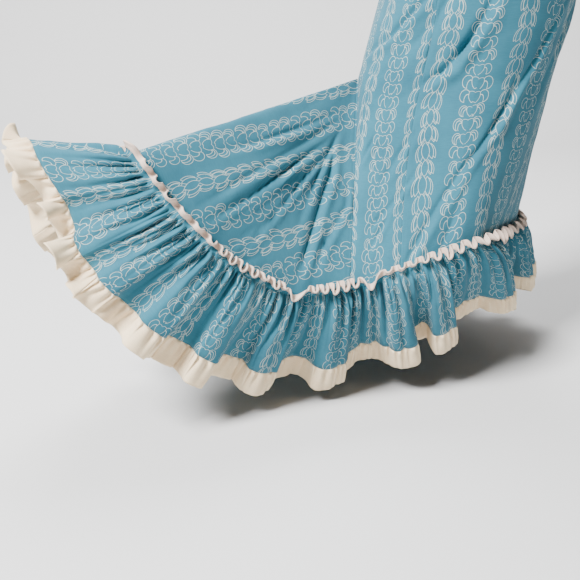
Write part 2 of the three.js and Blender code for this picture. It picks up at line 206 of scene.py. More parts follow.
def way_out(points):
    """The unit normals of a grid whose rows go down and whose columns go round."""
    return unit(np.cross(np.gradient(points, axis=0), np.gradient(points, axis=1)))


def arc(points, axis):
    """The distance along a grid's rows (axis 1) or columns (axis 0), from the first point."""
    steps = np.linalg.norm(np.diff(points, axis=axis), axis=-1)
    pad = [(0, 0), (0, 0)]
    pad[axis] = (1, 0)
    return np.cumsum(np.pad(steps, pad), axis=axis)


def uneven_numbers(a, b, size, seed):
    """Smooth numbers of -1 to 1 between a lattice's random ones, which come again after the lattice's size."""
    lattice = np.random.default_rng(seed).uniform(-1, 1, size)
    i, j = np.floor(a).astype(int), np.floor(b).astype(int)
    s, t = smooth(a - i, 0, 1), smooth(b - j, 0, 1)
    at = lambda di, dj: lattice[(i + di) % size[0], (j + dj) % size[1]]
    return mix(mix(at(0, 0), at(1, 0), s), mix(at(0, 1), at(1, 1), s), t)


def noise(u, v, cell, seed):
    """Uneven numbers on a panel, with a new value every cell."""
    return uneven_numbers(np.asarray(u, float) / cell, np.asarray(v, float) / cell, (97, 97), seed)


def ring_noise(share, down, cells, cell, seed):
    """Uneven numbers round the flounce, which meet where it closes on itself."""
    return uneven_numbers(share * cells, down / cell, (cells, 41), seed)


def along_noise(share, cells, seed):
    """The same, where they are alike from top to bottom."""
    return ring_noise(share, 0 * share, cells, 1, seed)


# ---- The surface of the dress ----


def body_point(turn, z):
    across, along = np.sin(TAU * turn), np.cos(TAU * turn)
    value = lambda column: read(BODY, "z", column, z)
    behind = value("back") * np.maximum(along, 0) ** value("point")
    depth = np.where(along > 0, behind, value("front") * along)
    x = value("pull") * np.maximum(0, along) ** 3 - value("side") * across
    return stack(x, value("y") + depth, z)


def yoke_point(turn, t, part):
    """Above the armpits: t runs from the armpit row to the neckline and shoulder."""
    a = TAU * turn
    x = -(mix(BODY["side"][0], SHOULDER_X, t) - ARMHOLE_SCOOP * np.sin(np.pi * t)) * np.sin(a)
    ridge = lambda x: -np.maximum(0, np.abs(x) - NECK_X) * SHOULDER_SLOPE
    top_x = -SHOULDER_X * np.sin(a)
    bow = np.sqrt(np.maximum(0, 1 - np.minimum(1, np.abs(top_x) / NECK_X) ** 2))
    top = np.where(np.abs(top_x) < NECK_X, -NECK_DROP[part] * bow, ridge(top_x))
    z = mix(ARMPIT_Z, top, t)
    depth = BODY[part][0] * np.maximum(0, (ridge(x) - z) / -ARMPIT_Z) ** 0.6
    edge = np.minimum(ARMHOLE_HALF * np.maximum(0, np.sin(np.pi * t)) ** 0.8, depth)
    y = edge + (depth - edge) * np.abs(np.cos(a)) ** mix(1, 1.6, t)
    return stack(x, -y if part == "front" else y, z)


def stitch(turn, *columns):
    """Columns of the stitch line's table at each turn."""
    return [read(STITCH, "turn", column, turn, ROUND) for column in columns]


def stitch_point(turn):
    return stack(*stitch(turn, *"xyz"))


def skirt_point(turn, t):
    """Below the knee, from the knee ring (t 0) to the flounce's stitch line (t 1)."""
    turn, t = np.broadcast_arrays(np.mod(turn, ROUND), t)
    top = body_point(np.where(turn > 1, 0, turn), np.full(turn.shape, float(KNEE_Z)))
    hem = stitch_point(turn)
    fall = MIDWAY * (top[..., 2] - hem[..., 2])
    falling = top + stack(LEAN[0] * fall, LEAN[1] * fall, -fall)
    fan = np.where(turn > 1, 1, 1 - smooth(np.minimum(turn, 1 - turn), 0, DRAWN))
    middle = mix(falling, mix(top, hem, MIDWAY), fan[..., None])
    t = t[..., None]
    return top * (1 - t) ** 2 + middle * 2 * t * (1 - t) + hem * t * t


# ---- Creases ----
# Each crease is a soft trough with a ridge beside it, along a line of points on the cloth. A negative width
# puts the ridge on the other side.
CREASES = [
    # depth, width, points: the long drag fold on the wearer's right, from the thigh to the flounce
    (2.6, 4.5, [(-129, -60, -835), (-146, -18, -920), (-162, 27, -993), (-176, 61, -1044), (-186, 95, -1081)]),
    (2.8, 5.5, [(-181, 80, -1066), (-201, 120, -1120), (-226, 158, -1180), (-240, 176, -1212)]),
    (2.8, 6.5, [(-168, 20, -760), (-174, 70, -860), (-161, 106, -925), (-142, 170, -970)]),
    (2.2, 7, [(-179, 49, -835), (-168, 84, -890), (-157, 128, -938)]),
    (3.2, 6, [(-150, 120, -808), (-131, 158, -845), (-111, 192, -885), (-59, 227, -925)]),
    (1.8, 3, [(-140, 212, -1028), (-146, 228, -1054), (-148, 238, -1076)]),
    (2, 5.5, [(-157, 155, -1020), (-161, 181, -1058), (-170, 205, -1095)]),
    (2.2, 3.5, [(-176, 155, -1082), (-190, 190, -1122), (-200, 224, -1161)]),
    (2.2, 6, [(-156, 5, -940), (-158, 24, -985), (-171, 50, -1040)]),
    (2.6, 12, [(-170, 40, -700), (-186, 96, -780), (-168, 140, -860), (-120, 190, -930)]),
    (1.6, 8, [(-196, 89, -1119), (-200, 105, -1160), (-222, 128, -1200)]),
    (1.8, 9, [(-60, -105, -800), (-110, -75, -900), (-140, -30, -1000)]),
    (2, 3.4, [(-152, 60, -868), (-160, 92, -905), (-150, 130, -946)]),
    (1.8, 3, [(-186, 42, -1030), (-196, 78, -1078), (-206, 118, -1136)]),
    (1.6, 3, [(-142, 196, -966), (-148, 214, -1004), (-160, 226, -1040)]),
    (1.8, 3.2, [(-176, 178, -1120), (-196, 204, -1160), (-214, 226, -1196)]),
    (1.6, 3, [(-178, -8, -900), (-182, 22, -952), (-186, 52, -1000)]),
    # the near side of the gore, fanning out from under the knee to the lower edge
    (2.8, 4.5, [(-150, 292, -1040), (-219, 358, -1076), (-262, 400, -1100), (-306, 448, -1120)]),
    (2.2, 3.4, [(-150, 276, -1045), (-195, 322, -1086), (-231, 350, -1115), (-271, 382, -1146), (-292, 400, -1161)]),
    (3.4, 5.2, [(-142, 276, -1051), (-165, 281, -1085), (-201, 299, -1131), (-246, 319, -1188), (-268, 330, -1215)]),
    (2.4, 4, [(-165, 252, -1095), (-181, 257, -1130), (-229, 294, -1182), (-256, 305, -1220)]),
    (1.5, 4, [(-288, 380, -1176), (-309, 406, -1182), (-322, 430, -1172)]),
    (1.5, 5, [(-100, 257, -995), (-150, 310, -1010), (-215, 390, -1030), (-262, 450, -1040)]),
    (1.3, 3.4, [(-246, 372, -1135), (-280, 408, -1150), (-318, 436, -1168)]),
    (1.8, 4, [(-120, 262, -1020), (-176, 300, -1082), (-236, 330, -1150)]),
    (1.6, 3.2, [(-190, 330, -1060), (-240, 366, -1092), (-290, 410, -1118)]),
    (1.5, 5.5, [(-104, 262, -1006), (-160, 318, -1035), (-236, 392, -1068), (-310, 462, -1100)]),
    # the far side of the gore
    (3, 9, [(-55, 262, -1010), (-70, 330, -1080), (-70, 400, -1160)]),
    (2.6, 8, [(-40, 255, -1020), (-10, 300, -1110), (20, 350, -1200)]),
    (2.4, 10, [(-80, 300, -1000), (-110, 380, -1060), (-120, 450, -1120)]),
    (3, 11, [(-20, 250, -1040), (50, 280, -1130), (90, 310, -1215)]),
    # the wearer's left
    (5, 8, [(120, -70, -830), (140, -25, -915), (165, 20, -1000), (190, 70, -1090), (215, 120, -1180)]),
    (3, 10, [(175, 20, -760), (178, 74, -860), (160, 110, -930), (140, 160, -985)]),
    (2.6, 9, [(150, 120, -880), (120, 165, -950), (110, 205, -1030)]),
    (2.2, 8, [(185, 40, -700), (192, 88, -790), (176, 130, -880)]),
    (2, 8, [(200, 60, -1060), (215, 110, -1130), (222, 160, -1190)]),
    # the front
    (2.6, 12, [(-70, -100, -700), (-20, -108, -790), (40, -102, -880)]),
    (2.4, 11, [(80, -92, -760), (30, -98, -860), (-30, -92, -950)]),
    (2.6, 12, [(-60, -80, -1020), (-20, -75, -1090), (10, -62, -1170)]),
    (2.4, 11, [(90, -60, -1010), (100, -55, -1090), (110, -48, -1170)]),
    # the waist and the bust
    (2.4, 8, [(-142, -20, -436), (-118, -62, -428), (-80, -88, -432)]),
    (2, 7, [(-144, 10, -410), (-128, -42, -398), (-92, -86, -392)]),
    (2.4, 8, [(142, -20, -440), (116, -66, -430), (74, -90, -424)]),
    (2, 8, [(144, 14, -408), (130, -40, -402), (96, -80, -408)]),
    (2.4, 9, [(-140, 20, -430), (-110, 60, -422), (-66, 84, -430)]),
    (2.2, 9, [(140, 24, -426), (112, 58, -432), (60, 86, -424)]),
    (2, 8, [(-150, 0, -470), (-130, 50, -462), (-90, 84, -470)]),
    (2, 8, [(152, 0, -466), (134, 46, -472), (88, 86, -462)]),
    (2, 8, [(-158, -20, -228), (-140, -66, -250), (-104, -104, -262)]),
    (2, 8, [(158, -22, -230), (142, -62, -246), (108, -102, -264)]),
]


CREASE_DEPTH = 2.5  # how deep the creases are, against the depths in their list
CREASE_REACH = 6  # how far from its line a crease is worked out, in its widths
CREASE_UNEVEN = 0.25
TROUGH_WIDTH = 0.72  # in the crease's width
RIDGE = {"height": 0.55, "away": 1.9, "width": 1.3}  # in the trough's depth and the crease's width


def creased(points, out):
    """Presses the creases into a grid of points, and returns how far each point moves outward."""
    shift = np.zeros(points.shape[:-1])
    for number, (depth, width, line) in enumerate(CREASES):
        line = np.array(line, float)
        reach = CREASE_REACH * abs(width)
        low, high = line.min(0) - reach, line.max(0) + reach
        near = np.all((points > low) & (points < high), axis=-1)
        if not near.any():
            continue
        p, n = points[near], out[near]
        legs = np.diff(line, axis=0)
        run = np.linalg.norm(legs, axis=-1)
        begun = np.concatenate([[0], np.cumsum(run)])
        best = np.full(len(p), np.inf)
        across, along = np.zeros(len(p)), np.zeros(len(p))
        for k, leg in enumerate(legs):
            s = np.clip((p - line[k]) @ leg / run[k] ** 2, 0, 1)
            away = p - (line[k] + s[:, None] * leg)
            apart = np.linalg.norm(away, axis=-1)
            side = np.einsum("ij,ij->i", away, unit(np.cross(n, leg)))
            closer = apart < best
            best = np.where(closer, apart, best)
            across = np.where(closer, side, across)
            along = np.where(closer, (begun[k] + s * run[k]) / begun[-1], along)
        past = np.sqrt(np.maximum(0, best**2 - across**2))
        uneven = 1 + CREASE_UNEVEN * np.sin(9 * along + number)
        taper = np.sin(np.pi * np.clip(along, 0.02, 0.98)) ** 0.6 * np.exp(-((past / (3 * abs(width))) ** 2))
        trough = -np.exp(-(np.abs(across / (TROUGH_WIDTH * width)) ** 1.25))
        beside = (across - RIDGE["away"] * width) / (RIDGE["width"] * width)
        ridge = RIDGE["height"] * np.exp(-(beside**2))
        shift[near] += CREASE_DEPTH * depth * uneven * taper * (trough + ridge)
    return shift


HAND = ((1.1, 62, 0), (0.42, 21, 31), (0.1, 7, 0))  # the height, cell and shift of each layer of unevenness


def hand(u, v, seed):
    """The slight unevenness of worn cotton."""
    return sum(high * noise(u + shift, v, cell, seed + k) for k, (high, cell, shift) in enumerate(HAND))


# ---- Meshes ----
SHEET_THICK = 0.6


def mesh_piece(name, grids, material, thick=SHEET_THICK):
    """One piece of cloth from grids of points in millimetres, each with the print's place (u, v) on its cloth."""
    verts, faces, places = [], [], []
    for points, u, v in grids:
        rows, columns = points.shape[:2]
        ids = len(verts) + np.arange(rows * columns).reshape(rows, columns)
        verts.extend((points.reshape(-1, 3) * MM).tolist())
        places.extend(np.stack([u.ravel(), v.ravel()], -1).tolist())
        quads = np.stack([ids[:-1, :-1], ids[1:, :-1], ids[1:, 1:], ids[:-1, 1:]], -1)
        faces.extend(quads.reshape(-1, 4).tolist())
    mesh = bpy.data.meshes.new(name)
    mesh.from_pydata(verts, [], faces)
    layer = mesh.uv_layers.new(name="cloth")
    corners = np.zeros(len(mesh.loops), np.int32)
    mesh.loops.foreach_get("vertex_index", corners)
    layer.data.foreach_set("uv", (np.array(places)[corners] * MM).ravel().astype(np.float32))
    if len(grids) > 1:
        joined = bmesh.new()
        joined.from_mesh(mesh)
        bmesh.ops.remove_doubles(joined, verts=joined.verts, dist=0.3 * MM)
        joined.to_mesh(mesh)
        joined.free()
    mesh.polygons.foreach_set("use_smooth", [True] * len(mesh.polygons))
    mesh.materials.append(material)
    piece = put(name, mesh)
    shell = piece.modifiers.new("thickness", "SOLIDIFY")
    shell.thickness = thick * MM
    shell.offset = -1
    return piece


def cloth_area(grids):
    """The cloth's area in square metres, before it is creased or gathered."""
    total = 0
    for points, _, _ in grids:
        across, down = np.diff(points, axis=1)[:-1], np.diff(points, axis=0)[:, :-1]
        total += np.linalg.norm(np.cross(across, down), axis=-1).sum()
    return total * MM * MM


# ---- Print, weave and finish: materials ----


class Term:
    """A number inside a node tree, so that a pattern is written as a formula."""

    def __init__(self, tree, socket):
        self.tree, self.socket = tree, socket

    def _math(self, operation, *others):
        node = self.tree.nodes.new("ShaderNodeMath")
        node.operation = operation
        for slot, value in zip(node.inputs, (self, *others)):
            if isinstance(value, Term):
                self.tree.links.new(value.socket, slot)
            else:
                slot.default_value = value
        return Term(self.tree, node.outputs[0])

    def __neg__(self):
        return self * -1

    def step(self, low, high):
        """0 below low, 1 above high, and a soft step between them."""
        node = self.tree.nodes.new("ShaderNodeMapRange")
        node.interpolation_type = "SMOOTHSTEP"
        self.tree.links.new(self.socket, node.inputs["Value"])
        node.inputs["From Min"].default_value = low
        node.inputs["From Max"].default_value = high
        return Term(self.tree, node.outputs["Result"])


OPERATIONS = {
    "__add__": "ADD", "__sub__": "SUBTRACT", "__mul__": "MULTIPLY", "__truediv__": "DIVIDE", "abs": "ABSOLUTE",
    "floor": "FLOOR", "sin": "SINE", "sign": "SIGN", "sqrt": "SQRT", "min": "MINIMUM", "max": "MAXIMUM",
    "over": "GREATER_THAN", "modulo": "FLOORED_MODULO", "times_plus": "MULTIPLY_ADD",
}
for method, operation in OPERATIONS.items():
    setattr(Term, method, lambda self, *others, operation=operation: self._math(operation, *others))


def hypot(x, y):
    return x.times_plus(x, y * y).sqrt()


def link(tree, value, slot):
    tree.links.new(value.socket if isinstance(value, Term) else value, slot)


def cloth_place(tree):
    """The place on the cloth, across and down, in millimetres."""
    coords = tree.nodes.new("ShaderNodeUVMap")
    coords.uv_map = "cloth"
    parts = tree.nodes.new("ShaderNodeSeparateXYZ")
    tree.links.new(coords.outputs["UV"], parts.inputs[0])
    return Term(tree, parts.outputs[0]) * 1000, Term(tree, parts.outputs[1]) * 1000


def vector(tree, x, y):
    node = tree.nodes.new("ShaderNodeCombineXYZ")
    link(tree, x, node.inputs[0])
    link(tree, y, node.inputs[1])
    return node.outputs[0]


def random_numbers(tree, x, y):
    """Three even random numbers of 0 to 1 for each pair of whole numbers."""
    node = tree.nodes.new("ShaderNodeTexWhiteNoise")
    node.noise_dimensions = "2D"
    tree.links.new(vector(tree, x, y), node.inputs["Vector"])
    parts = tree.nodes.new("ShaderNodeSeparateColor")
    tree.links.new(node.outputs["Color"], parts.inputs[0])
    return [Term(tree, parts.outputs[k]) for k in range(3)]


def soft_noise(tree, place, scale, detail):
    node = tree.nodes.new("ShaderNodeTexNoise")
    node.inputs["Scale"].default_value = scale
    node.inputs["Detail"].default_value = detail
    tree.links.new(place, node.inputs["Vector"])
    return Term(tree, node.outputs["Fac"])


# The print: garlands in stripes, drawn in single lines. Every other stripe is a chain of buds, and the ones
# between are chains of crown flowers.
STRIPE = 50  # from one garland's middle to the next one's
BUD_LONG = 22.5
CROWN_LONG = 19.6
LINE_HALF = 0.22
LINE_SOFT = 0.22
NO_LINE = 20  # far enough away for no line to be drawn
SWAY_RATE, SWAY_SHIFT, SWAY_SIZE = 0.021, 2.3, 1.8
# The forms of a flower: the middle, across and down, half the width, half the length, and the tilt in degrees.
BUD = {
    "middle": (0, 0.5, 5.4, 12.4, 0),
    "inner": (6.8, 1.2, 3.9, 11.8, -8),
    "outer": (10.4, 2.4, 3.1, 10.6, -11),
    "doubled": (7.6, 2, 2.7, 9, -8),
}
CROWN = {
    "cup": (0, -1.6, 7.6, 12.8, 0),
    "curl": (12.3, 0.1, 6.4, 8.4, 0),
    "hollow": (9.1, 5, 3.6, 6.9, 0),
    "vein": (11.3, 2.2, 4.5, 7.6, 0),
    "neck": (0, 10.2, 2.6, 2, 0),
}


def turned(x, y, angle):
    """x and y turned by a fixed angle in degrees."""
    c, s = math.cos(math.radians(angle)), math.sin(math.radians(angle))
    return x.times_plus(c, y * s), y.times_plus(c, x * -s)


def lens(x, y, half_width, half_length):
    """How far outside a pointed oval the place (x, y) is. It is below 0 inside."""
    inset = (half_length**2 - half_width**2) / (2 * half_width)
    return hypot(x.abs() + inset, y) - (inset + half_width)


def oval(x, y, half_width, half_length):
    """The same for an oval."""
    return (hypot(x / half_width, y / half_length) - 1) * min(half_width, half_length)


def outside(x, y, form, shape=lens):
    """How far outside one form of a flower the place (x, y) is."""
    across, down, half_width, half_length, tilt = form
    x, y = x - across, y - down
    if tilt:
        x, y = turned(x, y, tilt)
    return shape(x, y, half_width, half_length)


def behind(line, front):
    """A line's distance where a shape in front of it hides it."""
    return line.max(-front)


def unit_place(tree, x, along, stripe, number, long, wild):
    """The place inside one unit of a garland, which is tilted, shifted and sized a little at random."""
    first, second, third = random_numbers(tree, stripe, number)
    y = along - (number + 0.5) * long
    size = first * 0.2 + 0.9
    tilt = (second - 0.5) * wild
    moved = x + (third - 0.5) * 3
    across = (moved + y * tilt) * size
    down = (y - moved * tilt) * size + moved.sign() * (first - 0.5) * 1.6
    return across, down, second, third


def bud(tree, x, along, stripe, number):
    """Distance to the lines of one bud: a pointed oval between two pairs of petals that open downward."""
    across, y, _, lot = unit_place(tree, x, along, stripe, number, BUD_LONG, 0.42)
    side = across.abs()
    middle = outside(across, y, BUD["middle"])
    inner = outside(side, y, BUD["inner"])
    outer = outside(side, y, BUD["outer"])
    doubled = outside(side, y, BUD["doubled"]).abs() + lot.over(0.5) * NO_LINE
    lines = behind(behind(outer.abs(), inner).min(inner.abs()), middle)
    return lines.min(middle.abs()).min(behind(doubled, middle)), middle


def crown(tree, x, along, stripe, number):
    """Distance to the lines of one crown flower: a heart-shaped cup between two curled petals."""
    across, y, lot, other = unit_place(tree, x, along, stripe, number, CROWN_LONG, 0.3)
    side = across.abs()
    lip = side * (side * 0.1 - 0.85) - (y + 4.4)
    cup = outside(across, y, CROWN["cup"]).max(lip)
    petal = outside(side, y, CROWN["curl"], oval).max(-outside(side, y, CROWN["hollow"], oval))
    vein = outside(side, y, CROWN["vein"], oval).abs().max(petal) + lot.over(0.4) * NO_LINE
    neck = outside(across, y, CROWN["neck"], oval).abs() + other.over(0.7) * NO_LINE
    return behind(petal.abs().min(vein), cup).min(cup.abs()).min(neck)


def garlands(tree, u, v):
    """1 on the print's lines and 0 between them."""
    stripe = (u / STRIPE + 0.5).floor()
    sway = (v * SWAY_RATE + stripe * SWAY_SHIFT).sin() * SWAY_SIZE
    x = u - stripe * STRIPE + sway
    lot, _, _ = random_numbers(tree, stripe, stripe * 0.37 + 5)
    along = v + lot * 40
    number = (along / BUD_LONG).floor()
    here, middle = bud(tree, x, along, stripe, number)
    above, _ = bud(tree, x, along, stripe, number - 1)
    buds = here.min(behind(above, middle))
    crowns = crown(tree, x, along, stripe, (along / CROWN_LONG).floor())
    is_bud = stripe.modulo(2).over(0.5)
    distance = buds * is_bud + crowns * (is_bud * -1 + 1)
    return distance.step(LINE_HALF + LINE_SOFT, LINE_HALF - LINE_SOFT)


THREAD = 0.55  # the weave's pitch
WEAVE_HIGH, SLUB_HIGH, INK_HIGH = 0.035, 0.1, 0.05
INK_COVER = 0.93
PRINTED = {"ground": (0.027, 0.148, 0.205, 1), "deep": (0.016, 0.1, 0.148, 1), "line": (0.56, 0.6, 0.53, 1)}
CREAM = {"ground": (0.86, 0.7, 0.48, 1), "deep": (0.7, 0.53, 0.34, 1)}
BINDING = {"ground": (0.66, 0.52, 0.44, 1), "deep": (0.54, 0.4, 0.32, 1)}


def mixed(tree, share, first, second):
    node = tree.nodes.new("ShaderNodeMix")
    node.data_type = "RGBA"
    link(tree, share, node.inputs["Factor"])
    for slot, colour in ((node.inputs["A"], first), (node.inputs["B"], second)):
        if isinstance(colour, tuple):
            slot.default_value = colour
        else:
            tree.links.new(colour, slot)
    return node.outputs["Result"]


def cotton(name, colours, printed=False, roughness=0.85, thin=0):
    """Plain-weave cotton, with the print or without it. thin is how much light it scatters inside."""
    material = bpy.data.materials.new(name)
    material.use_nodes = True
    tree = material.node_tree
    shader = tree.nodes["Principled BSDF"]
    u, v = cloth_place(tree)
    place = vector(tree, u, v)
    blotch = soft_noise(tree, place, 0.016, 3)
    slub = soft_noise(tree, vector(tree, u * 0.25, v * 2.2), 0.35, 2)
    uneven = ((blotch - 0.5) * 1.6 + (slub - 0.5) * 0.9 + 0.45).max(0).min(1)
    colour = mixed(tree, uneven, colours["ground"], colours["deep"])
    warp = (u * (TAU / THREAD)).sin()
    weft = (v * (TAU / THREAD)).sin()
    height = warp * weft * WEAVE_HIGH + slub * SLUB_HIGH
    if printed:
        ink = garlands(tree, u, v)
        patchy = soft_noise(tree, place, 0.9, 1) * 0.5 + 0.62
        colour = mixed(tree, (ink * patchy).min(INK_COVER), colour, colours["line"])
        height = height + ink * INK_HIGH
    tree.links.new(colour, shader.inputs["Base Color"])
    bump = tree.nodes.new("ShaderNodeBump")
    bump.inputs["Strength"].default_value = 0.6
    bump.inputs["Distance"].default_value = MM
    link(tree, height, bump.inputs["Height"])
    tree.links.new(bump.outputs[0], shader.inputs["Normal"])
    shader.inputs["Roughness"].default_value = roughness
    shader.inputs["Sheen Weight"].default_value = 0.08
    shader.inputs["Sheen Roughness"].default_value = 0.5
    shader.inputs["Specular IOR Level"].default_value = 0.25
    if thin:
        shader.inputs["Subsurface Weight"].default_value = thin
        shader.inputs["Subsurface Radius"].default_value = (1, 0.8, 0.6)
        shader.inputs["Subsurface Scale"].default_value = 2 * MM
    return material


# ---- The panels ----
PANEL_STEP = 5  # between points where nothing fine shows
FINE_STEP = 3.4  # and on the wearer's right, where the folds are
YOKE_SHARES = 34
SEAM_GROOVE = 0.7
SEAM_HALF = 2.2
SEAM_CALM = 14  # the cloth's unevenness fades this near a seam
PUCKER = 0.5
SEEDS = {"back_right": 3, "back_left": 13, "front": 23, "side_right": 33, "side_left": 43, "gore": 53, "sleeve": 61}


def princess_seam(which):
    """The turn of a seam at each height."""
    return lambda z: read(PRINCESS, "z", which, np.clip(z, KNEE_Z, PRINCESS["z"][0]))


back_seam, front_seam = princess_seam("back"), princess_seam("front")


def on_left(seam):
    return lambda z: 1 - seam(z)


def held_at(turn):
    return lambda z: np.full(np.shape(z), float(turn))


def lower_grid(start, end, columns, step):
    """A panel's points from the armpit row to the stitch line."""
    shares = np.linspace(0, 1, columns + 1)
    heights = np.linspace(ARMPIT_Z, KNEE_Z, round((ARMPIT_Z - KNEE_Z) / step) + 1)
    turns = mix(start(heights)[:, None], end(heights)[:, None], shares)
    body = body_point(turns, np.broadcast_to(heights[:, None], turns.shape))
    falls = np.linspace(0, 1, round(SKIRT_FALL / step) + 1)[1:, None]
    skirt = skirt_point(np.broadcast_to(turns[-1], (len(falls), columns + 1)), falls)
    return np.concatenate([body, skirt])


def yoke_grid(part, start, end, columns):
    """A panel's points from the neckline or shoulder down to the armpit row."""
    shares = np.linspace(0, 1, columns + 1)
    t = np.linspace(1, 0, YOKE_SHARES)[:, None]
    z = mix(ARMPIT_Z, PRINCESS["z"][0], t)
    turns = mix(start(z), end(z), shares[None, :])
    return yoke_point(turns, t, part)


def meet_seam(shift, loose, inward):
    """Lets the unevenness fade towards a seam and the whole shift end at it, with a groove just inside it."""
    shift = shift - loose * np.exp(-((inward / SEAM_CALM) ** 2))
    shift = shift * (1 - np.exp(-((inward / SEAM_HALF) ** 2)))
    groove = np.exp(-(((inward - SEAM_HALF) / (0.8 * SEAM_HALF)) ** 2)) * (1 - np.exp(-inward))
    return shift - SEAM_GROOVE * groove


def finished(points, u, v, seed, seams=(True, True)):
    """A grid with its creases, its unevenness and the grooves and puckers along its seams."""
    out = way_out(points)
    loose = hand(u, v, seed)
    shift = creased(points, out) + loose
    run = arc(points, 1)
    for inward, is_seam in zip((run, run[:, -1:] - run), seams):
        if is_seam:
            shift = meet_seam(shift, loose, inward)
            shift += PUCKER * noise(v, 0 * v, 9, seed + 5) * np.exp(-inward / 9) * (1 - np.exp(-inward / 2))
    return points + out * shift[..., None]


def whole_grid(part, ends, columns, step):
    """A panel's points from the neckline or shoulder down to the stitch line."""
    return np.concatenate([yoke_grid(part, *ends, columns)[:-1], lower_grid(*ends, columns, step)])


def place_on_cloth(points, zero, scale=1.0, from_end=False):
    """The print's place: across is the distance from a seam, less zero, and down is measured along the middle."""
    run = arc(points, 1)
    run = run[:, -1:] - run if from_end else run
    u = (run - zero) * scale
    down = arc(points, 0)[:, points.shape[1] // 2]
    return u, np.broadcast_to(down[:, None], u.shape)


BACK_ZERO = 42  # a crown garland runs this far from the side-back seam
BACK_SCALE = 1.25


def back_panel(right):
    seam = back_seam if right else on_left(back_seam)
    ends = (held_at(0), seam) if right else (seam, held_at(1))
    whole = whole_grid("back", ends, 52 if right else 34, FINE_STEP if right else PANEL_STEP)
    u, v = place_on_cloth(whole, BACK_ZERO, -BACK_SCALE if right else BACK_SCALE, from_end=right)
    seed = SEEDS["back_right" if right else "back_left"]
    return [(finished(whole, u, v, seed), u, v)], cloth_area([(whole, u, v)])


def front_panel():
    whole = whole_grid("front", (front_seam, on_left(front_seam)), 46, PANEL_STEP)
    run = arc(whole, 1)
    u, v = place_on_cloth(whole, run[:, -1:] / 2)
    return [(finished(whole, u, v, SEEDS["front"]), u, v)], cloth_area([(whole, u, v)])


SIDE_ZERO = 80  # a crown garland runs this far from the side-back seam
SIDE_SCALE = 0.926


def side_panel(right):
    """Runs under the arm, and up to the shoulder on both sides of the armhole."""
    columns = 92 if right else 64
    step = FINE_STEP if right else PANEL_STEP
    ends = (back_seam, front_seam) if right else (on_left(front_seam), on_left(back_seam))
    under = held_at(0.25 if right else 0.75)
    parts = ("back", "front") if right else ("front", "back")
    seed = SEEDS["side_right" if right else "side_left"]
    lower = lower_grid(*ends, columns, step)
    u, v = place_on_cloth(lower, SIDE_ZERO, SIDE_SCALE if right else -SIDE_SCALE, from_end=not right)
    grids = [(finished(lower, u, v, seed), u, v)]
    bare = [(lower, u, v)]
    half = columns // 2
    for part, start, end, first in ((parts[0], ends[0], under, 0), (parts[1], under, ends[1], half)):
        yoke = yoke_grid(part, start, end, half)
        at_seam = u[0, 0] if first == 0 else u[0, -1]
        run = arc(yoke, 1)
        outward = run if first == 0 else run - run[:, -1:]
        sign = np.sign(u[0, -1] - u[0, 0])
        yoke_u = at_seam + sign * outward * SIDE_SCALE
        down = arc(yoke, 0)[:, 0 if first == 0 else -1]
        yoke_v = np.broadcast_to((down - down[-1])[:, None], yoke_u.shape)
        seams = (first == 0, first != 0)
        shaped = finished(yoke, yoke_u, yoke_v, seed, seams)
        shaped[-1] = grids[0][0][0, first : first + half + 1]
        grids.append((shaped, yoke_u, yoke_v))
        bare.append((yoke, yoke_u, yoke_v))
    return grids, cloth_area(bare)


# The gore is a cone from one point of the knee ring, so it unrolls to a flat fan.
GORE_COLUMNS = 210
GORE_ROWS = 84
GORE_GRAIN = math.radians(26)  # the garlands' slope to the side seam, on the flat
GORE_ZERO = 59


def gore():
    turns = np.linspace(1, ROUND - 1e-6, GORE_COLUMNS + 1)
    falls = np.linspace(GORE_TIP, 1, GORE_ROWS + 1)[:, None]
    points = skirt_point(np.broadcast_to(turns, (GORE_ROWS + 1, GORE_COLUMNS + 1)), falls)
    tip = skirt_point(np.array(1.2), np.array(0.0))
    rays = unit(points[-1] - tip)
    turning = np.arccos(np.clip(np.einsum("ij,ij->i", rays[1:], rays[:-1]), -1, 1))
    angle = np.concatenate([np.cumsum(turning[::-1])[::-1], [0]])
    far = np.linalg.norm(points - tip, axis=-1)
    aside, down = far * np.sin(angle), far * np.cos(angle)
    u = down * math.cos(GORE_GRAIN) - aside * math.sin(GORE_GRAIN) - GORE_ZERO
    v = aside * math.cos(GORE_GRAIN) + down * math.sin(GORE_GRAIN)
    out = way_out(points)
    edge = np.minimum(1, falls * 2.5)
    loose = hand(u, v, SEEDS["gore"]) * edge
    shift = creased(points, out) * edge + loose
    run = arc(points, 1)
    for inward in (run, run[:, -1:] - run):
        shift = meet_seam(shift, loose, inward)
    return [(points + out * shift[..., None], u, v)], cloth_area([(points, u, v)])


# ---- Sleeves ----
SLEEVE_HEM = {"x": 267, "z": -232, "radius": 63, "rise": (0.7, 0.71)}
SLEEVE_CAP = 12
SLEEVE_HEM_FOLD = 14  # from the hem's edge up to its stitching
SLEEVE_ROUND = 88
SLEEVE_DOWN = 30


